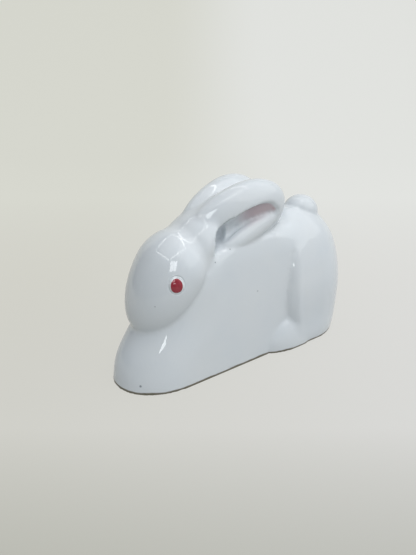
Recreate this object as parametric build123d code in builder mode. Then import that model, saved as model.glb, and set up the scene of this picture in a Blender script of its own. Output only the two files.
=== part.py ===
from build123d import *
import os

os.makedirs("parts", exist_ok=True)

# Glazed ceramic rabbit, lying with its ears laid back. Millimetres. It looks along -X, stands on
# Z = 0 and is symmetric about Y = 0, so the left side of the rabbit is the -Y side. The pieces are
# joined with slip, and luting_gap is the thickness of that joint.
luting_gap = 0.25

# Torso: two stacks of plan outlines, one for the flanks and one for the haunches
body_length = 140.0
torso_height = 70.0
flank_width = 41.6
haunch_height = 70.0
haunch_width = 50.4
wall = 4.0

# Each level of a stack: height, front end, rear end and half width, then the length of the rounding
# in front, as shares of the height, of half the length forward and back from the middle, of half
# the width, and of the length of the level
flank_level_shares = [
    (0.00, 1.000, 0.76, 0.996, 0.212),
    (0.12, 0.981, 0.76, 0.996, 0.225),
    (0.25, 0.925, 0.76, 0.987, 0.252),
    (0.38, 0.841, 0.75, 0.970, 0.275),
    (0.52, 0.765, 0.73, 0.942, 0.278),
    (0.66, 0.690, 0.69, 0.900, 0.258),
    (0.79, 0.560, 0.62, 0.830, 0.242),
    (0.89, 0.210, 0.52, 0.700, 0.265),
    (0.95, -0.050, 0.40, 0.500, 0.290),
]
haunch_level_shares = [
    (0.00, -0.22, 0.955, 0.970, 0.21),
    (0.16, -0.21, 0.984, 0.990, 0.20),
    (0.32, -0.19, 1.000, 0.990, 0.18),
    (0.48, -0.19, 0.992, 0.965, 0.18),
    (0.62, -0.20, 0.967, 0.890, 0.20),
    (0.74, -0.22, 0.926, 0.790, 0.23),
    (0.84, -0.26, 0.862, 0.660, 0.28),
    (0.92, -0.30, 0.785, 0.490, 0.35),
    (0.97, -0.36, 0.720, 0.320, 0.40),
    (1.00, -0.42, 0.650, 0.140, 0.40),
]
flank_rear_round_share = 0.30
haunch_rear_round_share = 0.55

# Bottom plate, set up inside the foot ring, with the hole that lets air out in the kiln
plate_recess = 1.5
plate_thickness = 3.5
vent_diameter = 6.0
vent_x = 12.0

# Head: an egg with its narrow end up, nose end down in front, placed by its fullest section back
# from the front and down from the top of the torso, and the crown that runs on into the ears
head_length = 52.0
head_height = 31.6
head_width = 38.5
head_nose_share = 0.61
head_pitch = 56.0
head_setback = 30.8
head_drop = 19.4
head_wall = 4.0
neck_vent_diameter = 8.0
crown_length = 42.0
crown_height = 23.0
crown_width = 32.0
crown_front_share = 0.50
crown_pitch = 46.0
crown_back = 10.8
crown_rise = 9.8

# Ears: two long eggs side by side along the back, placed by their fullest section back from that
# of the head and up from the top of the torso. Each has a scoop in its outer face, a throat that
# leads out of the scoop behind the cheek, and the fold of its lower edge turned up in front.
ear_length = 55.0
ear_height = 32.0
ear_width = 20.6
ear_front_share = 0.58
ear_pitch = 17.5
ear_yaw = -9.0
ear_roll = 10.0
ear_setback = 37.4
ear_spread = 6.6
ear_rise = 2.3
scoop_length = 44.0
scoop_height = 16.0
scoop_depth = 5.6
scoop_front_share = 0.56
scoop_yaw = -8.0
scoop_back = 4.0
scoop_rise = 0.6
throat_length = 26.0
throat_height = 19.0
throat_depth = 6.5
throat_front_share = 0.45
throat_forward = 18.5
throat_drop = 4.6
throat_sink = 2.8
fold_length = 42.0
fold_height = 9.5
fold_width = 8.0
fold_front_share = 0.50
fold_pitch = 5.0
fold_yaw = 9.0
fold_forward = 1.5
fold_drop = 5.9
fold_sink = 3.3

# Pink enamel on the upper wall of the scoop
enamel_thickness = 0.6
enamel_front = 14.0

# Eyes: a drop of red enamel in a shallow seat, with a groove cut round it, placed from the head's
# fullest section
eye_diameter = 6.2
eye_rise = 0.9
eye_seat_depth = 0.8
eye_forward = 7.6
eye_drop = 0.0
groove_diameter = 7.6
groove_width = 0.8

# Hind feet, placed in from the rear end and the side of the haunch
foot_length = 44.0
foot_height = 36.0
foot_width = 21.6
foot_front_share = 0.51
foot_inset = 45.5
foot_bury = 10.6
foot_lift = 3.0

# Tail, placed in from the rear end and down from the top of the haunch
tail_length = 20.0
tail_height = 18.0
tail_width = 18.0
tail_front_share = 0.5
tail_pitch = -15.0
tail_inset = 25.6
tail_sink = 3.7


def stacked_form(level_shares, rear_round_share, height, width, gap):
    """Loft through plan outlines from the base up, grown by gap on every side but the base."""
    half_length = body_length / 2
    with BuildPart() as form:
        for height_share, front_share, rear_share, width_share, front_round_share in level_shares:
            front = -half_length * front_share - gap
            rear = half_length * rear_share + gap
            half_width = width / 2 * width_share + gap
            front_round = (rear - front) * front_round_share
            rear_round = (rear - front) * rear_round_share
            with BuildSketch(Plane.XY.offset((height + gap) * height_share)):
                with BuildLine():
                    nose = EllipticalCenterArc(
                        (front + front_round, 0), front_round, half_width, start_angle=180
                    )
                    rump = EllipticalCenterArc(
                        (rear - rear_round, 0), rear_round, half_width, start_angle=270
                    )
                    Line(nose @ 1, rump @ 0)
                    mirror(about=Plane.XZ)
                make_face()
        loft()
    return form.part


def torso_form(gap=0):
    """The outside of the torso with both haunches, grown by gap on every side but the base."""
    with BuildPart() as form:
        add(stacked_form(flank_level_shares, flank_rear_round_share, torso_height, flank_width, gap))
        add(stacked_form(haunch_level_shares, haunch_rear_round_share, haunch_height, haunch_width, gap))
    return form.part


def cavity_form(inset):
    """The hollow of the torso, straight-walled between the base and the third level from the top."""
    hollow_levels = [flank_level_shares[0], flank_level_shares[-3]]
    return stacked_form(
        hollow_levels, flank_rear_round_share, torso_height, flank_width, -inset
    )


def egg_form(length, height, width, front_share, gap=0):
    """An egg along X about its fullest section, grown by gap on every side."""
    front = length * front_share + gap
    rear = length * (1 - front_share) + gap
    half_height = height / 2 + gap
    with BuildPart() as form:
        with BuildSketch(Plane.XZ):
            with BuildLine():
                front_arc = EllipticalCenterArc((0, 0), front, half_height, start_angle=90)
                rear_arc = EllipticalCenterArc((0, 0), rear, half_height)
                Line(front_arc @ 1, rear_arc @ 0)
            make_face()
        revolve(axis=Axis.X)
        scale(by=(1, (width / 2 + gap) / half_height, 1))
    return form.part


head_x = head_setback - body_length / 2
head_z = torso_height - head_drop
head_place = Location((head_x, 0, head_z)) * Rotation(0, -head_pitch, 0)
crown_place = Location((head_x + crown_back, 0, head_z + crown_rise)) * Rotation(0, -crown_pitch, 0)
ear_turn = Rotation(0, 0, ear_yaw) * Rotation(0, -ear_pitch, 0) * Rotation(ear_roll, 0, 0)
ear_place = Location((head_x + ear_setback, -ear_spread, torso_height + ear_rise)) * ear_turn
scoop_turn = Rotation(0, 0, scoop_yaw)
scoop_place = ear_place * Location((scoop_back, -ear_width / 2, scoop_rise)) * scoop_turn
throat_place = ear_place * Location((-throat_forward, throat_sink - ear_width / 2, -throat_drop))
fold_turn = Rotation(0, 0, fold_yaw) * Rotation(0, -fold_pitch, 0)
fold_place = ear_place * Location((-fold_forward, fold_sink - ear_width / 2, -fold_drop)) * fold_turn
foot_place = Location((body_length / 2 - foot_inset, foot_bury - haunch_width / 2, foot_lift))
tail_seat = Location((body_length / 2 - tail_inset, 0, haunch_height - tail_sink))
tail_place = tail_seat * Rotation(0, -tail_pitch, 0)


def head_form(gap=0):
    """The outside of the head and crown, grown by gap."""
    with BuildPart() as form:
        with Locations(head_place):
            add(egg_form(head_length, head_height, head_width, head_nose_share, gap))
        with Locations(crown_place):
            add(egg_form(crown_length, crown_height, crown_width, crown_front_share, gap))
    return form.part


def ear_form(gap=0):
    """The outside of the left ear before its scoop is cut, grown by gap."""
    with BuildPart() as form:
        with Locations(ear_place):
            add(egg_form(ear_length, ear_height, ear_width, ear_front_share, gap))
    return form.part


def scoop_form(gap=0):
    """The tool that hollows the outer face of the left ear, grown by gap."""
    with BuildPart() as form:
        with Locations(scoop_place):
            add(egg_form(scoop_length, scoop_height, 2 * scoop_depth, scoop_front_share, gap))
    return form.part


def throat_form():
    """The tool that hollows the front of the left ear and the back of the cheek."""
    with BuildPart() as form:
        with Locations(throat_place):
            add(egg_form(throat_length, throat_height, 2 * throat_depth, throat_front_share))
    return form.part


def fold_form(gap=0):
    """The turned-up lower edge of the left ear, grown by gap."""
    with BuildPart() as form:
        with Locations(fold_place):
            add(egg_form(fold_length, fold_height, fold_width, fold_front_share, gap))
    return form.part


torso_seat = torso_form(luting_gap)
head_seat = head_form(luting_gap)
left_throat = throat_form()

# Torso
with BuildPart() as body_shell:
    add(torso_form())
    add(cavity_form(wall), mode=Mode.SUBTRACT)
    with Locations((head_x, 0, torso_height / 2)):
        Cylinder(
            neck_vent_diameter / 2,
            torso_height,
            align=(Align.CENTER, Align.CENTER, Align.MIN),
            mode=Mode.SUBTRACT,
        )
body_shell.part.label = "body_shell"
export_step(body_shell.part, "parts/body_shell.step")

# Bottom plate
with BuildPart() as base_plate:
    add(cavity_form(wall + luting_gap))
    split(bisect_by=Plane.XY.offset(plate_recess), keep=Keep.TOP)
    split(bisect_by=Plane.XY.offset(plate_recess + plate_thickness), keep=Keep.BOTTOM)
    with Locations((vent_x, 0, plate_recess)):
        Cylinder(vent_diameter / 2, 3 * plate_thickness, mode=Mode.SUBTRACT)
base_plate.part.label = "base_plate"
export_step(base_plate.part, "parts/base_plate.step")

# Eyes, placed where a line across the head leaves the skin
outer_head = head_form()
eye_axis = Axis((head_x - eye_forward, 0, head_z - eye_drop), (0, -1, 0))
eye_point, eye_normal = outer_head.find_intersection_points(eye_axis)[-1]
left_eye_plane = Plane(eye_point, z_dir=eye_normal)

with BuildPart() as eye_seat:
    with BuildSketch(left_eye_plane):
        Circle(eye_diameter / 2 + luting_gap)
    extrude(amount=eye_seat_depth, both=True)
    with Locations(left_eye_plane):
        Torus(groove_diameter / 2, groove_width / 2)

with BuildPart() as enamel_drop:
    Sphere(eye_diameter / 2)
    scale(by=(1, 1, 2 * eye_rise / eye_diameter))
    split(bisect_by=Plane.XY, keep=Keep.TOP)
    Cylinder(
        eye_diameter / 2,
        eye_seat_depth - luting_gap,
        align=(Align.CENTER, Align.CENTER, Align.MAX),
    )

with BuildPart() as eye_left:
    with Locations(left_eye_plane):
        add(enamel_drop.part)
eye_left.part.label = "eye_left"
export_step(eye_left.part, "parts/eye_left.step")

# Head
with BuildPart() as head:
    add(outer_head)
    with Locations(head_place):
        add(
            egg_form(head_length, head_height, head_width, head_nose_share, -head_wall),
            mode=Mode.SUBTRACT,
        )
    add(torso_seat, mode=Mode.SUBTRACT)
    add(left_throat, mode=Mode.SUBTRACT)
    add(mirror(left_throat, about=Plane.XZ, mode=Mode.PRIVATE), mode=Mode.SUBTRACT)
    add(eye_seat.part, mode=Mode.SUBTRACT)
    add(mirror(eye_seat.part, about=Plane.XZ, mode=Mode.PRIVATE), mode=Mode.SUBTRACT)
head.part.label = "head"
export_step(head.part, "parts/head.step")

# Ears
with BuildPart() as ear_left:
    add(ear_form())
    add(scoop_form(), mode=Mode.SUBTRACT)
    add(left_throat, mode=Mode.SUBTRACT)
    add(fold_form())
    split(bisect_by=Plane.XZ.offset(luting_gap), keep=Keep.TOP)
    add(head_seat, mode=Mode.SUBTRACT)
    add(torso_seat, mode=Mode.SUBTRACT)
ear_left.part.label = "ear_left"
export_step(ear_left.part, "parts/ear_left.step")

# Pink enamel: the skin of the scoop's upper wall, behind enamel_front and clear of the fold
with BuildPart() as scoop_skin:
    add(egg_form(scoop_length, scoop_height, 2 * scoop_depth, scoop_front_share, -luting_gap))
    add(
        egg_form(
            scoop_length,
            scoop_height,
            2 * scoop_depth,
            scoop_front_share,
            -luting_gap - enamel_thickness,
        ),
        mode=Mode.SUBTRACT,
    )
    split(bisect_by=Plane.YZ.offset(-enamel_front), keep=Keep.TOP)
    split(bisect_by=Plane.XY, keep=Keep.TOP)

with BuildPart() as inner_ear_left:
    with Locations(scoop_place):
        add(scoop_skin.part)
    add(ear_form(), mode=Mode.INTERSECT)
    add(fold_form(luting_gap), mode=Mode.SUBTRACT)
    add(head_seat, mode=Mode.SUBTRACT)
inner_ear_left.part.label = "inner_ear_left"
export_step(inner_ear_left.part, "parts/inner_ear_left.step")

# Hind feet
with BuildPart() as hind_foot_left:
    with Locations(foot_place):
        add(egg_form(foot_length, foot_height, foot_width, foot_front_share))
    split(bisect_by=Plane.XY, keep=Keep.TOP)
    add(torso_seat, mode=Mode.SUBTRACT)
hind_foot_left.part.label = "hind_foot_left"
export_step(hind_foot_left.part, "parts/hind_foot_left.step")

# Tail
with BuildPart() as tail:
    with Locations(tail_place):
        add(egg_form(tail_length, tail_height, tail_width, tail_front_share))
    add(torso_seat, mode=Mode.SUBTRACT)
tail.part.label = "tail"
export_step(tail.part, "parts/tail.step")

# The right side mirrors the left
for left, name in [
    (ear_left, "ear_right"),
    (inner_ear_left, "inner_ear_right"),
    (eye_left, "eye_right"),
    (hind_foot_left, "hind_foot_right"),
]:
    with BuildPart() as right:
        add(mirror(left.part, about=Plane.XZ, mode=Mode.PRIVATE))
    right.part.label = name
    export_step(right.part, f"parts/{name}.step")
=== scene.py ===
import bpy
import bmesh
import math
import numpy as np
from mathutils import Matrix, Vector
from mathutils.bvhtree import BVHTree


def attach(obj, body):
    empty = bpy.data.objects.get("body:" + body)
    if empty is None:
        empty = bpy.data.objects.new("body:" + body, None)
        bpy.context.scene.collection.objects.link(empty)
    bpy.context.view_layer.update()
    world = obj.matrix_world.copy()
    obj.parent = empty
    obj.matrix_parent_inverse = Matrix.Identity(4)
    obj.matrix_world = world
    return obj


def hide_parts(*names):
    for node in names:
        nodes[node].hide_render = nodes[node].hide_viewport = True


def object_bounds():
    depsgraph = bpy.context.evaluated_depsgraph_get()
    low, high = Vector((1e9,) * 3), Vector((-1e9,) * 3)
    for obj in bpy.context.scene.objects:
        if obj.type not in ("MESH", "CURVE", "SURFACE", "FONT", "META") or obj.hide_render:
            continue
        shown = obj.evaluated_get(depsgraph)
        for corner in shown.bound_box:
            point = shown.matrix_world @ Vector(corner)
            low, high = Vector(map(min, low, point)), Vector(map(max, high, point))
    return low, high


# A glazed ceramic rabbit on pale paper. The glaze runs over the joints of the cast pieces, so the
# skin of all of them is made in one, then cut into one piece for each CAD node. Apart from the iron
# specks, a place that is named for one side of the figurine holds for the mirrored side too.
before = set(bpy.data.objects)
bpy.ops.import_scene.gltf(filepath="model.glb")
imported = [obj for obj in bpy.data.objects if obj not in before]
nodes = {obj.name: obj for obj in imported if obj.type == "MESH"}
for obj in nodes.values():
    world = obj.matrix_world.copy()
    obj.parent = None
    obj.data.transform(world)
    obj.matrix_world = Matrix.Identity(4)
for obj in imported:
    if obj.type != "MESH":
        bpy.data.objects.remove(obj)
cad_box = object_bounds()
MM = 0.001

CERAMIC = ["body_shell", "head", "ear_left", "ear_right", "hind_foot_left", "hind_foot_right", "tail"]
ENAMEL = ["inner_ear_left", "inner_ear_right"]
PIECES = CERAMIC + ENAMEL
EYES = ["eye_left", "eye_right"]

# The skin: the pieces are inflated so that they meet, then made one by a voxel remesh
WELD_DISTANCE = 0.002 * MM
INFLATE = 0.16 * MM
VOXEL = 0.67 * MM

# Its outside: the inner wall of the foot ring is kept up to its top. A band of steep faces above it,
# turned towards the spine, is cut out, so that nothing joins it to the rest of the inside.
RIM_WALL_TOP = 6.0 * MM
RIM_WALL_BAND = 3 * VOXEL
SPINE_FRONT = -45 * MM
SPINE_REAR = 30 * MM
STEEP_BELOW = 0.7

# Its smoothing: rounds, and how far a vertex moves in a round, as a share of the way to the middle
# of its neighbours. The slightly longer way back keeps the form from shrinking.
SMOOTH_ROUNDS = 11
FINAL_SMOOTH_ROUNDS = 4
STEP = 0.5
STEP_BACK = 0.53
TINY_LENGTH = 1e-20

# Glaze in every crease above the bare rim. The normals are renewed every few rounds.
CREASE_ROUNDS = 6
RIM_HEIGHT = 1.0 * MM
ROUNDS_FOR_NORMALS = 8

# More glaze at the neck, where the crown, the head and the ears run into each other, and at the
# cheek above a level. The throat, at the low end of the ear's hollow, stays open.
BLEND_ROUNDS = 150
NECK_MIDDLE = Vector((-26, 0, 71)) * MM
NECK_RADIUS = 19 * MM
NECK_SOFT = 5 * MM
CHEEK_MIDDLE = Vector((-32, 12, 60)) * MM
CHEEK_RADIUS = 13 * MM
CHEEK_SOFT = 4 * MM
CHEEK_LEVEL = 55 * MM
CHEEK_LEVEL_SOFT = 3 * MM
THROAT_MIDDLE = Vector((-13, 13, 63)) * MM
THROAT_RADIUS = 8 * MM
THROAT_SOFT = 3 * MM

# A drop of glaze, a finely divided ball, closes the narrow gap between the head's wall and the throat
GAP_MIDDLE = Vector((-29.3, 9.0, 60.8)) * MM
GAP_RADIUS = 2.2 * MM
GAP_FINENESS = 3

# More glaze behind each hind foot, where it runs into the haunch
FOOT_REAR_MIDDLE = Vector((29, 24, 6)) * MM
FOOT_REAR_RADIUS = 8.5 * MM
FOOT_REAR_SOFT = 3 * MM
FOOT_REAR_ROUNDS = 110

# The back is smoothed beside the rear end of each ear, and not on the ear itself
BACK_MIDDLE = Vector((22, 13, 66)) * MM
BACK_RADIUS = 11 * MM
BACK_SOFT = 4 * MM
BACK_FRONT = 12 * MM
BACK_FRONT_SOFT = 6 * MM
BACK_ROUNDS = 175
EAR_CLEARANCE = 0.8 * MM
EAR_CLEARANCE_SOFT = 2.5 * MM

# Round each eye the skin is remade on a smooth surface, with a fine ring engraved in it. Both are
# narrower than high, and their radii are those of the height.
EYE_WIDTH_SHARE = 0.87
EYE_PATCH_RADIUS = 4.8 * MM
EYE_BLEND_RADIUS = 6.2 * MM
EYE_FIT_RADIUS = 6.8 * MM
EYE_DEPTH = EYE_FIT_RADIUS / 2
EYE_CUTS = 3
EYE_RING_RADIUS = 4.05 * MM
EYE_RING_WIDTH = 0.24 * MM
EYE_RING_DEPTH = 0.22 * MM


# Helpers for node materials
def new_material(name):
    """A node material, with its node tree and its Principled shader."""
    mat = bpy.data.materials.new(name)
    mat.use_nodes = True
    return mat, mat.node_tree, mat.node_tree.nodes["Principled BSDF"]


def add_node(tree, kind, inputs=None, **settings):
    """A node of one kind, with its settings and the values of its inputs."""
    node = tree.nodes.new(kind)
    for key, value in settings.items():
        setattr(node, key, value)
    for key, value in (inputs or {}).items():
        node.inputs[key].default_value = value
    return node


def math_node(tree, operation, a, b, clamp=False):
    """A Math node on two numbers or sockets, and its result."""
    node = add_node(tree, "ShaderNodeMath", operation=operation, use_clamp=clamp)
    for socket, value in zip(node.inputs, (a, b)):
        if isinstance(value, bpy.types.NodeSocket):
            tree.links.new(value, socket)
        else:
            socket.default_value = value
    return node.outputs[0]


def times(tree, a, b, clamp=False):
    """The product of two numbers or sockets."""
    return math_node(tree, "MULTIPLY", a, b, clamp)


def mix_colour(tree, factor, a, b):
    """A colour between a and b, which are colours or sockets."""
    node = add_node(tree, "ShaderNodeMix", data_type="RGBA")
    colour_inputs = [s for s in node.inputs if s.type == "RGBA"]
    sockets = [node.inputs["Factor"], *colour_inputs]
    for socket, value in zip(sockets, (factor, a, b)):
        if isinstance(value, bpy.types.NodeSocket):
            tree.links.new(value, socket)
        elif socket.type == "RGBA":
            socket.default_value = (*value, 1.0)
        else:
            socket.default_value = value
    return [s for s in node.outputs if s.type == "RGBA"][0]


def colour_ramp(tree, value, stops):
    """The colour for a value, through stops of place and colour from low to high."""
    node = add_node(tree, "ShaderNodeValToRGB")
    tree.links.new(value, node.inputs[0])
    elements = node.color_ramp.elements
    for index in (0, -1):
        place, shade = stops[index]
        elements[index].position = place
        elements[index].color = (*shade, 1)
    for place, shade in stops[1:-1]:
        elements.new(place).color = (*shade, 1)
    return node.outputs["Color"]


def object_point(tree):
    """The point on the surface, in the frame, as a socket."""
    return add_node(tree, "ShaderNodeTexCoord").outputs["Object"]


def parts_of(tree, vector):
    """The X, Y and Z of a vector socket, as sockets."""
    split = add_node(tree, "ShaderNodeSeparateXYZ")
    tree.links.new(vector, split.inputs[0])
    return split.outputs["X"], split.outputs["Y"], split.outputs["Z"]


def vector_of(tree, x, y, z):
    """A vector socket made of three sockets."""
    join = add_node(tree, "ShaderNodeCombineXYZ")
    for socket, value in zip(join.inputs, (x, y, z)):
        tree.links.new(value, socket)
    return join.outputs[0]


def length_of(tree, vector):
    """The length of a vector socket."""
    node = add_node(tree, "ShaderNodeVectorMath", operation="LENGTH")
    tree.links.new(vector, node.inputs[0])
    return node.outputs["Value"]


def mirrored_point(tree):
    """The point on the surface, moved to the left side of the middle plane."""
    x, y, z = parts_of(tree, object_point(tree))
    left = times(tree, math_node(tree, "ABSOLUTE", y, 0.0), -1.0)
    return vector_of(tree, x, left, z)


def level_distance(tree, x_share, y_share):
    """How far the point lies along a level direction, in metres, as a socket."""
    x, y, _ = parts_of(tree, object_point(tree))
    return math_node(tree, "ADD", times(tree, x, x_share), times(tree, y, y_share))


def inside_shape(tree, middle, turn, half_sizes):
    """The mirrored point as shares of the half sizes of a turned shape."""
    place = add_node(tree, "ShaderNodeMapping", vector_type="TEXTURE")
    place.inputs["Location"].default_value = middle
    place.inputs["Rotation"].default_value = turn
    place.inputs["Scale"].default_value = half_sizes
    tree.links.new(mirrored_point(tree), place.inputs["Vector"])
    return place.outputs[0]


def noise(tree, scale, detail=2.0):
    """A noise over the surface, with the scale in waves per metre."""
    node = add_node(tree, "ShaderNodeTexNoise", {"Scale": scale, "Detail": detail})
    tree.links.new(object_point(tree), node.inputs["Vector"])
    return node.outputs["Fac"]


def ramp_between(tree, value, low, high):
    """0 below low, 1 above high and a soft step between them."""
    node = add_node(tree, "ShaderNodeMapRange", interpolation_type="SMOOTHSTEP")
    tree.links.new(value, node.inputs["Value"])
    node.inputs["From Min"].default_value = low
    node.inputs["From Max"].default_value = high
    return node.outputs["Result"]


def near_point(tree, point, radius, source=object_point):
    """1 at a point of the frame, falling to 0 at the radius."""
    node = add_node(tree, "ShaderNodeVectorMath", operation="DISTANCE")
    tree.links.new(source(tree), node.inputs[0])
    node.inputs[1].default_value = point
    share = math_node(tree, "DIVIDE", node.outputs["Value"], radius)
    return math_node(tree, "SUBTRACT", 1.0, share, clamp=True)


def add_bump(tree, shader, height, strength, distance):
    """Gives a shader fine relief from a height socket."""
    bump = add_node(tree, "ShaderNodeBump", {"Strength": strength, "Distance": distance})
    tree.links.new(height, bump.inputs["Height"])
    tree.links.new(bump.outputs[0], shader.inputs["Normal"])


# The glaze, with a faint blue cloud in it
GLAZE_WHITE = (0.79, 0.815, 0.835)
GLAZE_BLUE = (0.67, 0.73, 0.79)
GLAZE_IOR = 1.55
CLOUD_SCALE = 38.0
CLOUD_DETAIL = 3.0
CLOUD_STRENGTH = 0.8

# How rough the glaze is at least, and what a fine noise adds to that
GLAZE_ROUGHNESS = 0.015
GLAZE_ROUGHNESS_RANGE = 0.02
GLAZE_ROUGHNESS_SCALE = 900.0

# The glaze's slight waviness
WAVE_SCALE = 90.0
WAVE_DETAIL = 1.0
WAVE_STRENGTH = 0.12
WAVE_HEIGHT = 0.25 * MM

# Iron specks on the left side: place and radius, in millimetres
SPECKS = [
    (-2.5, -20.0, 37.5, 0.75),
    (-64.0, -12.5, 4.5, 0.75),
    (-25.5, -16.0, 56.0, 0.45),
    (-16.5, -15.0, 60.0, 0.60),
    (-55.0, -13.0, 41.5, 0.40),
]
SPECK_COLOUR = (0.16, 0.19, 0.23)
SPECK_SHARPNESS = 1.6
SPECK_STRENGTH = 0.8

# Finer grains all over: one in the middle of some cells
GRAIN_CELL_SCALE = 75.0
GRAIN_RADIUS = 0.022
GRAIN_CELL_SHARE = 0.3
GRAIN_STRENGTH = 0.45

# The bare rim at the foot, painted dark as contact shadow as well as bare clay, from fully bare to fully
# glazed, and how its edge wavers
# Painted contact shadow: far darker than the biscuit of the bottom plate
BARE_RIM_AND_CONTACT_SHADOW = (0.17, 0.155, 0.115)
BARE_AND_SHADOW_BELOW = 0.60 * MM
GLAZED_ABOVE = 1.10 * MM
RIM_WAVER_SCALE = 160.0
RIM_WAVER_HEIGHT = 0.9 * MM
BARE_ROUGHNESS = 0.6

# The left ear: its fullest section, half sizes and turn, as the shape inside which the enamel lies
EAR_MIDDLE = Vector((-1.8, -6.6, 72.3)) * MM
EAR_HALF_SIZES = Vector((27.5, 10.3, 16.0)) * MM
EAR_TURN = (math.radians(10), math.radians(-17.5), math.radians(-9))

# The pink in the ear: how much shorter than the shape it is, where it fades out, in shares of the
# half sizes, and the deeper pink at its rear
PINK_PALE = (0.60, 0.50, 0.54)
PINK_DEEP = (0.50, 0.17, 0.20)
PINK_LENGTH_FACTOR = 1.19
PINK_EDGE = (0.86, 0.93)
PINK_FRONT = (-0.35, 0.10)
PINK_BOTTOM = (-0.15, 0.10)
PINK_DEEP_MIDDLE = Vector((13.4, -15.0, 75.8)) * MM
PINK_DEEP_RADIUS = 5.5 * MM
PINK_DEEP_SHARPNESS = 1.5


def add_pink(tree, colour):
    """Lays the ear's pink over a colour: inside the hollow, fading to the front and the bottom."""
    x, y, z = parts_of(tree, inside_shape(tree, EAR_MIDDLE, EAR_TURN, EAR_HALF_SIZES))
    length = length_of(tree, vector_of(tree, times(tree, x, PINK_LENGTH_FACTOR), y, z))
    inside = math_node(tree, "SUBTRACT", 1.0, ramp_between(tree, length, *PINK_EDGE))
    behind = ramp_between(tree, x, *PINK_FRONT)
    above = ramp_between(tree, z, *PINK_BOTTOM)
    share = times(tree, times(tree, inside, behind), above)
    deep = near_point(tree, PINK_DEEP_MIDDLE, PINK_DEEP_RADIUS, mirrored_point)
    deep = times(tree, deep, PINK_DEEP_SHARPNESS, clamp=True)
    return mix_colour(tree, share, colour, mix_colour(tree, deep, PINK_PALE, PINK_DEEP))


def add_specks(tree, colour):
    """Lays the iron specks over a colour."""
    for x, y, z, radius in SPECKS:
        dot = near_point(tree, Vector((x, y, z)) * MM, radius * MM)
        dot = times(tree, dot, SPECK_SHARPNESS, clamp=True)
        colour = mix_colour(tree, times(tree, dot, SPECK_STRENGTH), colour, SPECK_COLOUR)
    return colour


def add_grains(tree, colour):
    """Lays the finer grains over a colour."""
    cells = add_node(tree, "ShaderNodeTexVoronoi", {"Scale": GRAIN_CELL_SCALE, "Randomness": 1.0})
    tree.links.new(object_point(tree), cells.inputs["Vector"])
    grain = math_node(tree, "LESS_THAN", cells.outputs["Distance"], GRAIN_RADIUS)
    chance = add_node(tree, "ShaderNodeSeparateColor")
    tree.links.new(cells.outputs["Color"], chance.inputs[0])
    grain = times(tree, grain, math_node(tree, "LESS_THAN", chance.outputs[0], GRAIN_CELL_SHARE))
    return mix_colour(tree, times(tree, grain, GRAIN_STRENGTH), colour, SPECK_COLOUR)


def bare_and_shadow_share(tree):
    """1 on the bare rim at the foot, which is painted dark as contact shadow, 0 on the glaze."""
    height = parts_of(tree, object_point(tree))[2]
    waver = times(tree, noise(tree, RIM_WAVER_SCALE), RIM_WAVER_HEIGHT)
    height = math_node(tree, "SUBTRACT", height, waver)
    return math_node(tree, "SUBTRACT", 1.0, ramp_between(tree, height, BARE_AND_SHADOW_BELOW, GLAZED_ABOVE))


def glaze_material(name, has_pink):
    """Off-white glaze with a faint blue cloud, iron specks, a bare rim painted dark as contact shadow and
    a slight waviness.
    """
    mat, tree, shader = new_material(name)
    cloud = times(tree, noise(tree, CLOUD_SCALE, CLOUD_DETAIL), CLOUD_STRENGTH)
    colour = mix_colour(tree, cloud, GLAZE_WHITE, GLAZE_BLUE)
    if has_pink:
        colour = add_pink(tree, colour)
    colour = add_grains(tree, add_specks(tree, colour))
    bare = bare_and_shadow_share(tree)
    # The bare rim's colour is bare clay darkened into a painted contact shadow
    tree.links.new(mix_colour(tree, bare, colour, BARE_RIM_AND_CONTACT_SHADOW), shader.inputs["Base Color"])
    rough = times(tree, noise(tree, GLAZE_ROUGHNESS_SCALE), GLAZE_ROUGHNESS_RANGE)
    rough = math_node(tree, "ADD", rough, GLAZE_ROUGHNESS)
    rough = math_node(tree, "ADD", rough, times(tree, bare, BARE_ROUGHNESS), clamp=True)
    tree.links.new(rough, shader.inputs["Roughness"])
    add_bump(tree, shader, noise(tree, WAVE_SCALE, WAVE_DETAIL), WAVE_STRENGTH, WAVE_HEIGHT)
    shader.inputs["IOR"].default_value = GLAZE_IOR
    return mat


# The unglazed bottom plate
BISCUIT_DARK = (0.66, 0.61, 0.53)
BISCUIT_PALE = (0.80, 0.76, 0.69)
BISCUIT_CLOUD_SCALE = 220.0
BISCUIT_CLOUD_DETAIL = 5.0
BISCUIT_ROUGHNESS = 0.85
TOOTH_SCALE = 2500.0
TOOTH_DETAIL = 4.0
TOOTH_STRENGTH = 0.6
TOOTH_HEIGHT = 0.15 * MM


def biscuit_material():
    """Unglazed fired clay with a fine tooth and pores."""
    mat, tree, shader = new_material("biscuit")
    cloud = noise(tree, BISCUIT_CLOUD_SCALE, BISCUIT_CLOUD_DETAIL)
    colour = mix_colour(tree, cloud, BISCUIT_DARK, BISCUIT_PALE)
    tree.links.new(colour, shader.inputs["Base Color"])
    shader.inputs["Roughness"].default_value = BISCUIT_ROUGHNESS
    add_bump(tree, shader, noise(tree, TOOTH_SCALE, TOOTH_DETAIL), TOOTH_STRENGTH, TOOTH_HEIGHT)
    return mat


# The eye's enamel: half width, reach in depth and half height of the red oval, and its soft edge
EYE_OVAL = (2.65 * MM, 1.0, 3.2 * MM)
EYE_OVAL_EDGE = (0.93, 1.0)
EYE_RED_DARK = (0.30, 0.020, 0.034)
EYE_RED_PALE = (0.40, 0.050, 0.075)
EYE_RED_SCALE = 600.0
EYE_RED_DETAIL = 3.0
EYE_IOR = 1.52
EYE_ROUGHNESS = 0.05
EYE_ROUGHNESS_RANGE = 0.04
EYE_ROUGHNESS_SCALE = 1500.0
EYE_WAVE_SCALE = 900.0
EYE_WAVE_STRENGTH = 0.15
EYE_WAVE_HEIGHT = 0.1 * MM


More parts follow.
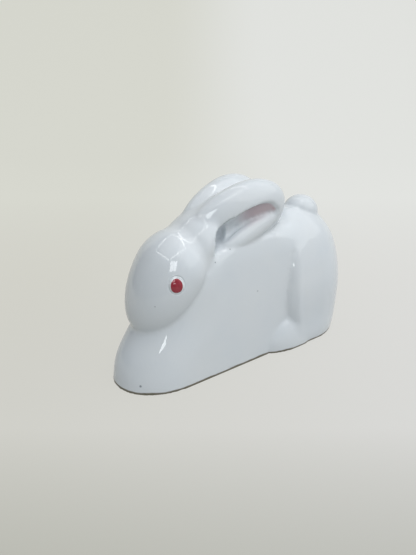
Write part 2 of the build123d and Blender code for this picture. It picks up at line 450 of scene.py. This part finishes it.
def eye_material():
    """Deep red enamel, uneven in tone, brushed on in an upright oval that leaves the sides bare."""
    mat, tree, shader = new_material("eye_enamel")
    middle, _, _, facing = eye_frame("eye_left")
    turn = (0, 0, math.atan2(facing[0], -facing[1]))
    length = length_of(tree, inside_shape(tree, middle, turn, EYE_OVAL))
    red = mix_colour(tree, noise(tree, EYE_RED_SCALE, EYE_RED_DETAIL), EYE_RED_DARK, EYE_RED_PALE)
    colour = mix_colour(tree, ramp_between(tree, length, *EYE_OVAL_EDGE), red, GLAZE_WHITE)
    tree.links.new(colour, shader.inputs["Base Color"])
    rough = times(tree, noise(tree, EYE_ROUGHNESS_SCALE), EYE_ROUGHNESS_RANGE)
    tree.links.new(math_node(tree, "ADD", rough, EYE_ROUGHNESS), shader.inputs["Roughness"])
    add_bump(tree, shader, noise(tree, EYE_WAVE_SCALE), EYE_WAVE_STRENGTH, EYE_WAVE_HEIGHT)
    shader.inputs["IOR"].default_value = EYE_IOR
    return mat


def dress(obj, mat):
    """Gives an object one material and smooth shading."""
    obj.data.materials.clear()
    obj.data.materials.append(mat)
    for poly in obj.data.polygons:
        poly.material_index = 0
        poly.use_smooth = True


# The glazed skin
def joined_mesh(names):
    """The named pieces, slightly inflated so that they meet, and the two drops, as one mesh."""
    whole = bmesh.new()
    for name in names:
        part = bmesh.new()
        part.from_mesh(nodes[name].data)
        bmesh.ops.remove_doubles(part, verts=part.verts, dist=WELD_DISTANCE)
        part.normal_update()
        for v in part.verts:
            v.co += v.normal * INFLATE
        mesh = bpy.data.meshes.new(name)
        part.to_mesh(mesh)
        part.free()
        whole.from_mesh(mesh)
        bpy.data.meshes.remove(mesh)
    for side in (-1, 1):
        place = Matrix.Translation(Vector((GAP_MIDDLE.x, side * GAP_MIDDLE.y, GAP_MIDDLE.z)))
        bmesh.ops.create_icosphere(whole, subdivisions=GAP_FINENESS, radius=GAP_RADIUS, matrix=place)
    mesh = bpy.data.meshes.new("joined")
    whole.to_mesh(mesh)
    whole.free()
    return mesh


def remeshed(mesh, voxel):
    """The mesh after a voxel remesh."""
    obj = bpy.data.objects.new("remeshed", mesh)
    bpy.context.scene.collection.objects.link(obj)
    mod = obj.modifiers.new("remesh", "REMESH")
    mod.mode = "VOXEL"
    mod.voxel_size = voxel
    depsgraph = bpy.context.evaluated_depsgraph_get()
    result = bpy.data.meshes.new_from_object(obj.evaluated_get(depsgraph))
    bpy.data.objects.remove(obj)
    bpy.data.meshes.remove(mesh)
    return result


def arrays_of(mesh):
    """The vertices and quads of a mesh, which is removed."""
    co = np.zeros(len(mesh.vertices) * 3)
    mesh.vertices.foreach_get("co", co)
    quads = np.array([tuple(p.vertices) for p in mesh.polygons if len(p.vertices) == 4])
    bpy.data.meshes.remove(mesh)
    return co.reshape(-1, 3), quads


def edges_of(quads):
    """Each edge of the quads once, as pairs of vertices."""
    pairs = np.vstack([quads[:, [k, (k + 1) % 4]] for k in range(4)])
    return np.unique(np.sort(pairs, axis=1), axis=0)


def vertex_normals(co, quads):
    """Unit normals at the vertices."""
    face = np.cross(co[quads[:, 2]] - co[quads[:, 0]], co[quads[:, 3]] - co[quads[:, 1]])
    total = np.zeros_like(co)
    for k in range(4):
        for axis in range(3):
            total[:, axis] += np.bincount(quads[:, k], face[:, axis], len(co))
    return total / np.maximum(np.linalg.norm(total, axis=1, keepdims=True), TINY_LENGTH)


def neighbour_step(co, edges, count):
    """The vector from each vertex to the middle of its neighbours."""
    total = np.zeros_like(co)
    for axis in range(3):
        total[:, axis] = np.bincount(edges[:, 0], co[edges[:, 1], axis], len(co))
        total[:, axis] += np.bincount(edges[:, 1], co[edges[:, 0], axis], len(co))
    return total / count[:, None] - co


def smooth_even(co, edges, count, rounds):
    """Takes the steps of the voxels out without shrinking the form."""
    for _ in range(rounds):
        co = co + STEP * neighbour_step(co, edges, count)
        co = co - STEP_BACK * neighbour_step(co, edges, count)
    return co


def fill_creases(co, edges, quads, count, weight, rounds):
    """Fills hollow creases as glaze does, and leaves the rounded forms as they are."""
    for i in range(rounds):
        if i % ROUNDS_FOR_NORMALS == 0:
            normal = vertex_normals(co, quads)
        rise = np.maximum((neighbour_step(co, edges, count) * normal).sum(1), 0.0)
        co = co + (STEP * rise * weight)[:, None] * normal
    return co


def ball(co, middle, radius, soft):
    """1 within the radius of a point on either side of the middle plane, falling to 0 over soft."""
    mirrored = np.column_stack([co[:, 0], np.abs(co[:, 1]), co[:, 2]])
    distance = np.linalg.norm(mirrored - np.array(middle), axis=1)
    return np.clip((radius - distance) / soft + 1.0, 0.0, 1.0)


def beyond(values, start, soft):
    """0 up to the start, rising to 1 over soft."""
    return np.clip((values - start) / soft, 0.0, 1.0)


def surface_tree(names):
    """A search tree over the CAD surfaces of the named pieces, and which piece each face is of."""
    verts, faces, owner = [], [], []
    for number, name in enumerate(names):
        mesh = nodes[name].data
        start = len(verts)
        verts.extend(v.co.copy() for v in mesh.vertices)
        for poly in mesh.polygons:
            faces.append([start + i for i in poly.vertices])
            owner.append(number)
    return BVHTree.FromPolygons(verts, faces), owner


def clear_of_ears(co, chosen):
    """For the chosen points, 0 on an ear and just beside it, rising to 1 farther away."""
    tree = surface_tree(["ear_left", "ear_right"])[0]
    share = np.ones(len(co))
    for i in np.flatnonzero(chosen):
        gap = tree.find_nearest(Vector(co[i]))[3]
        share[i] = beyond(gap, EAR_CLEARANCE, EAR_CLEARANCE_SOFT)
    return share


def outer_quads(co, quads):
    """The quads of the outside, with the inner wall of the foot ring and no other inside."""
    normal = vertex_normals(co, quads)
    centre = co[quads].mean(1)
    face_normal = normal[quads].mean(1)
    spine = np.clip(centre[:, 0], SPINE_FRONT, SPINE_REAR)
    inward = face_normal[:, 0] * (centre[:, 0] - spine) + face_normal[:, 1] * centre[:, 1] < 0
    band = inward & (centre[:, 2] > RIM_WALL_TOP) & (centre[:, 2] < RIM_WALL_TOP + RIM_WALL_BAND)
    kept = quads[~(band & (np.abs(face_normal[:, 2]) < STEEP_BELOW))]
    group = np.arange(len(co))
    edges = edges_of(kept)
    while True:
        low = np.minimum(group[edges[:, 0]], group[edges[:, 1]])
        spread = group.copy()
        np.minimum.at(spread, edges[:, 0], low)
        np.minimum.at(spread, edges[:, 1], low)
        spread = spread[spread]
        if (spread == group).all():
            break
        group = spread
    return kept[group[kept[:, 0]] == group[np.argmax(co[:, 2])]]


def without_unused(co, quads):
    """Only the vertices that the quads use, and the quads numbered to suit."""
    used = np.unique(quads)
    renumber = np.full(len(co), -1)
    renumber[used] = np.arange(len(used))
    return co[used], renumber[quads]


def neck_share(co):
    """1 at the neck and the cheeks, 0 elsewhere and at the throats."""
    neck = ball(co, NECK_MIDDLE, NECK_RADIUS, NECK_SOFT)
    cheek = ball(co, CHEEK_MIDDLE, CHEEK_RADIUS, CHEEK_SOFT)
    cheek = cheek * beyond(co[:, 2], CHEEK_LEVEL, CHEEK_LEVEL_SOFT)
    throat = ball(co, THROAT_MIDDLE, THROAT_RADIUS, THROAT_SOFT)
    return np.maximum(neck, cheek) * (1 - throat)


def back_share(co):
    """1 on the back beside the rear end of each ear, 0 elsewhere and on the ears."""
    back = ball(co, BACK_MIDDLE, BACK_RADIUS, BACK_SOFT)
    back = back * beyond(co[:, 0], BACK_FRONT, BACK_FRONT_SOFT)
    return back * clear_of_ears(co, back > 0)


def skin_arrays():
    """Vertices and quads of the skin, smoothed, with the creases filled as the glaze does."""
    co, quads = arrays_of(remeshed(joined_mesh(PIECES), VOXEL))
    co, quads = without_unused(co, outer_quads(co, quads))
    edges = edges_of(quads)
    count = np.bincount(edges.ravel(), minlength=len(co)).astype(float)
    co = smooth_even(co, edges, count, SMOOTH_ROUNDS)
    co = co - vertex_normals(co, quads) * INFLATE
    above_rim = np.where(co[:, 2] < RIM_HEIGHT, 0.0, 1.0)
    co = fill_creases(co, edges, quads, count, above_rim, CREASE_ROUNDS)
    co = fill_creases(co, edges, quads, count, neck_share(co), BLEND_ROUNDS)
    foot_rear = ball(co, FOOT_REAR_MIDDLE, FOOT_REAR_RADIUS, FOOT_REAR_SOFT)
    co = fill_creases(co, edges, quads, count, foot_rear, FOOT_REAR_ROUNDS)
    back = back_share(co)
    for _ in range(BACK_ROUNDS):
        co = co + (STEP * back)[:, None] * neighbour_step(co, edges, count)
    co = smooth_even(co, edges, count, FINAL_SMOOTH_ROUNDS)
    co[:, 2] = np.clip(co[:, 2], cad_box[0][2], cad_box[1][2])
    return co, quads


# The eyes
def eye_frame(name):
    """The middle of an eye, the directions along and up its edge, and the one that it faces."""
    points = np.array([v.co for v in nodes[name].data.vertices])
    middle = (points.min(0) + points.max(0)) / 2
    across = np.linalg.svd(points - points.mean(0), full_matrices=False)[2]
    facing = across[2] * np.sign(across[2][1] * middle[1])
    side = np.cross((0, 0, 1), facing)
    side = side / np.linalg.norm(side)
    return middle, side, np.cross(facing, side), facing


def quadratic_terms(u, v):
    """The terms of a quadratic surface at places along and up an eye's edge, one row for each."""
    u = np.atleast_1d(u) / EYE_FIT_RADIUS
    v = np.atleast_1d(v) / EYE_FIT_RADIUS
    return np.column_stack([np.ones_like(u), u, v, u * u, u * v, v * v])


def remake_eye_patch(bm, name):
    """Lays the skin round an eye on a smooth surface, finely divided, with the engraved ring."""
    middle, side, rise, facing = eye_frame(name)

    def local(points):
        rel = points - middle
        return rel @ side / EYE_WIDTH_SHARE, rel @ rise, rel @ facing

    u, v, w = local(np.array([vert.co for vert in bm.verts]))
    radius = np.hypot(u, v)
    near = np.abs(w) < EYE_DEPTH
    ring = near & (radius > EYE_PATCH_RADIUS) & (radius < EYE_FIT_RADIUS)
    fit = np.linalg.lstsq(quadratic_terms(u[ring], v[ring]), w[ring], rcond=None)[0]
    bm.verts.ensure_lookup_table()
    patch = near & (radius < EYE_PATCH_RADIUS + VOXEL)
    edges = [e for e in bm.edges if patch[e.verts[0].index] and patch[e.verts[1].index]]
    bmesh.ops.subdivide_edges(bm, edges=edges, cuts=EYE_CUTS, use_grid_fill=True)
    for vert in bm.verts:
        u, v, w = local(np.array(vert.co))
        radius = math.hypot(u, v)
        if radius > EYE_BLEND_RADIUS or abs(w) > EYE_DEPTH:
            continue
        smooth_w = float(quadratic_terms(u, v)[0] @ fit)
        share = (EYE_BLEND_RADIUS - radius) / (EYE_BLEND_RADIUS - EYE_PATCH_RADIUS)
        share = min(max(share, 0.0), 1.0)
        share = share * share * (3 - 2 * share)
        groove = EYE_RING_DEPTH * math.exp(-((radius - EYE_RING_RADIUS) / EYE_RING_WIDTH) ** 2)
        vert.co += Vector(facing) * ((smooth_w - w) * share - groove)


def skin_mesh():
    """The whole skin, with the rings round the eyes."""
    co, quads = skin_arrays()
    mesh = bpy.data.meshes.new("skin")
    mesh.from_pydata(co.tolist(), [], quads.tolist())
    bm = bmesh.new()
    bm.from_mesh(mesh)
    for eye in EYES:
        remake_eye_patch(bm, eye)
    bm.normal_update()
    bm.to_mesh(mesh)
    bm.free()
    mesh.update()
    return mesh


# The pieces
def nearest_piece(centres):
    """The number of the piece whose CAD surface is nearest to each point."""
    tree, owner = surface_tree(PIECES)
    return np.array([owner[tree.find_nearest(c)[2]] for c in centres])


def cut_into_pieces(skin, materials):
    """Cuts the skin into a piece for each node, shaded as one surface."""
    owner = nearest_piece([p.center for p in skin.polygons])
    normals = [tuple(n.vector) for n in skin.vertex_normals]
    for number, name in enumerate(PIECES):
        faces = [tuple(skin.polygons[i].vertices) for i in np.flatnonzero(owner == number)]
        used = sorted({v for face in faces for v in face})
        place = {v: i for i, v in enumerate(used)}
        mesh = bpy.data.meshes.new("glazed_" + name)
        mesh.from_pydata([skin.vertices[v].co for v in used], [], [[place[v] for v in f] for f in faces])
        mesh.update()
        piece = bpy.data.objects.new("glazed_" + name, mesh)
        bpy.context.scene.collection.objects.link(piece)
        dress(piece, materials["ear" if "ear" in name else "plain"])
        mesh.normals_split_custom_set_from_vertices([normals[v] for v in used])
        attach(piece, "root")
        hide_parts(name)


skin = skin_mesh()
cut_into_pieces(skin, {"plain": glaze_material("glaze", False), "ear": glaze_material("ear_glaze", True)})
bpy.data.meshes.remove(skin)

dress(nodes["base_plate"], biscuit_material())
eye_enamel = eye_material()
for eye in EYES:
    dress(nodes[eye], eye_enamel)

# Floor and backdrop, turned to face the camera, in metres
VIEW_TURN = math.radians(36)
FLOOR_HALF_WIDTH = 1.8
FLOOR_BACK = 0.75
FLOOR_FRONT = -0.8
SWEEP_RADIUS = 0.5
SWEEP_STEPS = 16
SWEEP_TOP = 1.6

# The paper: its colour with painted shade, darker at the front and brighter at the back, where along the
# floor the shades start, how long they take, and the painted tints that make it darker and warmer at its
# left and brighter at its right
PAPER_SHADES_WITH_PAINTED_FALLOFF = [
    (0.0, (0.55, 0.555, 0.52)),
    (0.12, (0.725, 0.725, 0.705)),
    (0.45, (0.75, 0.75, 0.72)),
    (1.0, (0.80, 0.81, 0.775)),
]
PAPER_START = -0.13
PAPER_LENGTH = 0.50
PAPER_LEFT_PAINTED_SHADE = (0.93, 0.925, 0.88)
PAPER_RIGHT_PAINTED_LIGHT = (1.04, 1.04, 1.05)
PAPER_PAINTED_SIDE_REACH = 0.15

# The share of its shade that the paper doesn't bounce, and the share of it that the camera and the
# glaze see as it is, without light or shadow
PAPER_BOUNCE_LOSS = 0.41
PAPER_SEEN_SHARE = 0.85
BLACK = (0.0, 0.0, 0.0)


def stage_mesh():
    """A floor that curves up into a backdrop, facing the camera."""
    profile = [(FLOOR_FRONT, 0.0), (FLOOR_BACK, 0.0)]
    for i in range(1, SWEEP_STEPS + 1):
        a = math.radians(90) * i / SWEEP_STEPS
        profile.append((FLOOR_BACK + SWEEP_RADIUS * math.sin(a), SWEEP_RADIUS * (1 - math.cos(a))))
    profile.append((FLOOR_BACK + SWEEP_RADIUS, SWEEP_TOP))
    ahead = Vector((math.sin(VIEW_TURN), math.cos(VIEW_TURN), 0))
    aside = Vector((math.cos(VIEW_TURN), -math.sin(VIEW_TURN), 0))
    verts, faces = [], []
    for s, z in profile:
        for t in (-FLOOR_HALF_WIDTH, FLOOR_HALF_WIDTH):
            verts.append(ahead * s + aside * t + Vector((0, 0, z)))
    for i in range(len(profile) - 1):
        faces.append((2 * i, 2 * i + 1, 2 * i + 3, 2 * i + 2))
    mesh = bpy.data.meshes.new("stage")
    mesh.from_pydata(verts, [], faces)
    for poly in mesh.polygons:
        poly.use_smooth = True
    return mesh


def paper_with_painted_shade(tree):
    """The paper's colour with its painted shade, darker towards the front and the left, by the place on
    the floor.
    """
    along = level_distance(tree, math.sin(VIEW_TURN), math.cos(VIEW_TURN))
    along = math_node(tree, "ADD", along, -PAPER_START)
    share = math_node(tree, "DIVIDE", along, PAPER_LENGTH, clamp=True)
    # Painted shade: the paper darkens towards the front
    shade = colour_ramp(tree, share, PAPER_SHADES_WITH_PAINTED_FALLOFF)
    across = level_distance(tree, math.cos(VIEW_TURN), -math.sin(VIEW_TURN))
    side = ramp_between(tree, across, -PAPER_PAINTED_SIDE_REACH, PAPER_PAINTED_SIDE_REACH)
    # Painted light and shade: darker and warmer at the left, brighter at the right
    painted_side_light = mix_colour(tree, side, PAPER_LEFT_PAINTED_SHADE, PAPER_RIGHT_PAINTED_LIGHT)
    paper = add_node(tree, "ShaderNodeVectorMath", operation="MULTIPLY")
    tree.links.new(shade, paper.inputs[0])
    tree.links.new(painted_side_light, paper.inputs[1])
    return paper.outputs[0]


def stage_material():
    """Pale paper: its brightness follows its colour with the painted shade in it, and the shadow on it
    stays weak.
    """
    mat = bpy.data.materials.new("pale_paper")
    mat.use_nodes = True
    tree = mat.node_tree
    tree.nodes.clear()
    paper = paper_with_painted_shade(tree)
    diffuse = add_node(tree, "ShaderNodeBsdfDiffuse")
    tree.links.new(mix_colour(tree, PAPER_BOUNCE_LOSS, paper, BLACK), diffuse.inputs["Color"])
    glow = add_node(tree, "ShaderNodeEmission", {"Strength": 1.0})
    tree.links.new(paper, glow.inputs["Color"])
    path = add_node(tree, "ShaderNodeLightPath").outputs
    seen = math_node(tree, "ADD", path["Is Camera Ray"], path["Is Glossy Ray"], clamp=True)
    seen = math_node(tree, "ADD", seen, path["Is Transmission Ray"], clamp=True)
    mix = add_node(tree, "ShaderNodeMixShader")
    tree.links.new(times(tree, seen, PAPER_SEEN_SHARE), mix.inputs[0])
    tree.links.new(diffuse.outputs[0], mix.inputs[1])
    tree.links.new(glow.outputs[0], mix.inputs[2])
    out = add_node(tree, "ShaderNodeOutputMaterial")
    tree.links.new(mix.outputs[0], out.inputs[0])
    return mat


stage = bpy.data.objects.new("stage", stage_mesh())
bpy.context.scene.collection.objects.link(stage)
stage.data.materials.append(stage_material())

# Light: the point that the lights face, their colours, and the frame on the ceiling, in metres
TARGET = Vector((-0.01, 0.0, 0.045))
WARM_WHITE = (1.0, 0.99, 0.97)
PLAIN_WHITE = (1.0, 1.0, 1.0)
DAYLIGHT = (0.95, 0.98, 1.0)
FRAME_HEIGHT = 1.05
FRAME_SIDES = (-0.85, 0.20, -0.35, 0.75)
FRAME_STRIP = 0.04
FRAME_POWER = 0.65


def direction(azimuth, elevation):
    """The direction towards an azimuth and elevation, in degrees. Azimuth 0 is on the -Y side."""
    a, e = math.radians(azimuth), math.radians(elevation)
    return Vector((math.sin(a) * math.cos(e), -math.cos(a) * math.cos(e), math.sin(e)))


def rectangle_light(name, width, height, power):
    """A rectangular light that faces down."""
    data = bpy.data.lights.new(name, "AREA")
    data.shape = "RECTANGLE"
    data.size = width
    data.size_y = height
    data.energy = power
    light = bpy.data.objects.new(name, data)
    bpy.context.scene.collection.objects.link(light)
    return light


def facing_light(name, azimuth, elevation, distance, width, height, power, colour):
    """A rectangular light that faces the figurine."""
    light = rectangle_light(name, width, height, power)
    light.data.color = colour
    light.location = TARGET + direction(azimuth, elevation) * distance
    light.rotation_euler = (TARGET - light.location).to_track_quat("-Z", "Y").to_euler()


def ceiling_frame():
    """Four thin strips in a rectangle overhead, each facing straight down."""
    x_low, x_high, y_low, y_high = FRAME_SIDES
    middle_x = (x_low + x_high) / 2
    middle_y = (y_low + y_high) / 2
    sides = [
        (middle_x, y_low, x_high - x_low, FRAME_STRIP),
        (middle_x, y_high, x_high - x_low, FRAME_STRIP),
        (x_low, middle_y, FRAME_STRIP, y_high - y_low),
        (x_high, middle_y, FRAME_STRIP, y_high - y_low),
    ]
    for number, (x, y, width, depth) in enumerate(sides):
        strip = rectangle_light("frame_strip_" + str(number), width, depth, FRAME_POWER)
        strip.location = (x, y, FRAME_HEIGHT)


facing_light(
    "key",
    azimuth=44, elevation=53, distance=1.5,
    width=2.0, height=2.0, power=10.5, colour=WARM_WHITE,
)
facing_light(
    "overhead",
    azimuth=-120, elevation=78, distance=1.3,
    width=1.4, height=1.4, power=2.2, colour=PLAIN_WHITE,
)
facing_light(
    "window",
    azimuth=-46, elevation=37, distance=1.2,
    width=0.40, height=0.46, power=3.1, colour=DAYLIGHT,
)
facing_light(
    "low_window",
    azimuth=-35, elevation=13.4, distance=1.2,
    width=0.27, height=0.10, power=0.57, colour=DAYLIGHT,
)
ceiling_frame()

# The room round the figurine: its shades from 0, straight away from the bright side, to 1, straight
# towards it
ROOM_BRIGHT_AZIMUTH = 68
ROOM_BRIGHT_ELEVATION = 14
ROOM_SHADES = [
    (0.30, (0.06, 0.07, 0.08)),
    (0.95, (0.90, 0.95, 0.98)),
]
ROOM_STRENGTH = 0.70


def room():
    """The world, which is brighter towards one side."""
    world = bpy.data.worlds.new("room")
    world.use_nodes = True
    tree = world.node_tree
    tree.nodes.clear()
    facing = add_node(tree, "ShaderNodeVectorMath", operation="DOT_PRODUCT")
    tree.links.new(add_node(tree, "ShaderNodeTexCoord").outputs["Generated"], facing.inputs[0])
    facing.inputs[1].default_value = direction(ROOM_BRIGHT_AZIMUTH, ROOM_BRIGHT_ELEVATION)
    share = times(tree, math_node(tree, "ADD", facing.outputs["Value"], 1.0), 0.5)
    sky = add_node(tree, "ShaderNodeBackground", {"Strength": ROOM_STRENGTH})
    tree.links.new(colour_ramp(tree, share, ROOM_SHADES), sky.inputs["Color"])
    out = add_node(tree, "ShaderNodeOutputWorld")
    tree.links.new(sky.outputs[0], out.inputs[0])
    return world


bpy.context.scene.world = room()

# Camera: its place, where it looks from, and its focal length against the picture's long side
CAMERA_PLACE = Vector((-138.24, -165.77, 124.52)) * MM
CAMERA_AZIMUTH = -36
CAMERA_ELEVATION = 22
CAMERA_NEAREST = 0.01
FOCAL_PIXELS = 450.0
LONG_SIDE_PIXELS = 555.0


def photo_camera():
    """The camera of the picture."""
    data = bpy.data.cameras.new("camera")
    data.lens = FOCAL_PIXELS * data.sensor_width / LONG_SIDE_PIXELS
    data.clip_start = CAMERA_NEAREST
    camera = bpy.data.objects.new("camera", data)
    bpy.context.scene.collection.objects.link(camera)
    camera.location = CAMERA_PLACE
    back = direction(CAMERA_AZIMUTH, CAMERA_ELEVATION)
    camera.rotation_euler = (-back).to_track_quat("-Z", "Y").to_euler()
    return camera


bpy.context.scene.camera = photo_camera()
bpy.context.scene.view_settings.view_transform = "Standard"
